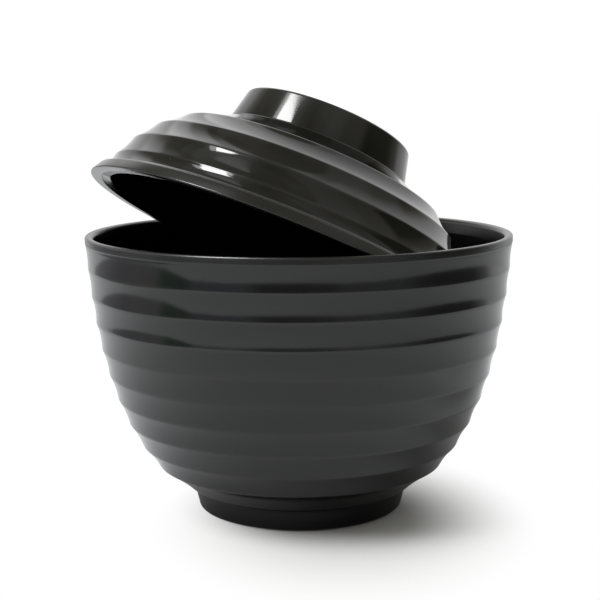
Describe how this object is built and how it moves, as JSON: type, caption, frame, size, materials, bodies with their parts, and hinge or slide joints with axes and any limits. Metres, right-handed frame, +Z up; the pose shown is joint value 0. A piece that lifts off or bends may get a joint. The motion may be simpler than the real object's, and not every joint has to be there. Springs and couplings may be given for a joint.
{
  "type": "lidded bowl",
  "caption": "Black moulded bowl with horizontal fluted rings and a foot ring, with a loose ring-handled lid leaning in its mouth.",
  "frame": {"origin": "centre of the foot ring, on the plane that the bowl stands on", "axes": "+Z up along the bowl's own axis; +X and +Y level, with the leaning lid's low side towards +X and a little +Y"},
  "size_m": [0.1192, 0.1192, 0.1182],
  "materials": {
    "bowl_plastic": "black moulded melamine, gloss, with a buffed duller lip",
    "lid_plastic": "black moulded melamine, bright gloss"
  },
  "bodies": {
    "bowl": {"bowl": "bowl_plastic"},
    "lid": {"lid": "lid_plastic"}
  },
  "joints": [
    {"name": "lid_lift", "type": "slide", "parent": "bowl", "child": "lid", "axis": [0, 0, 1], "range_m": [0, 0.07]}
  ]
}
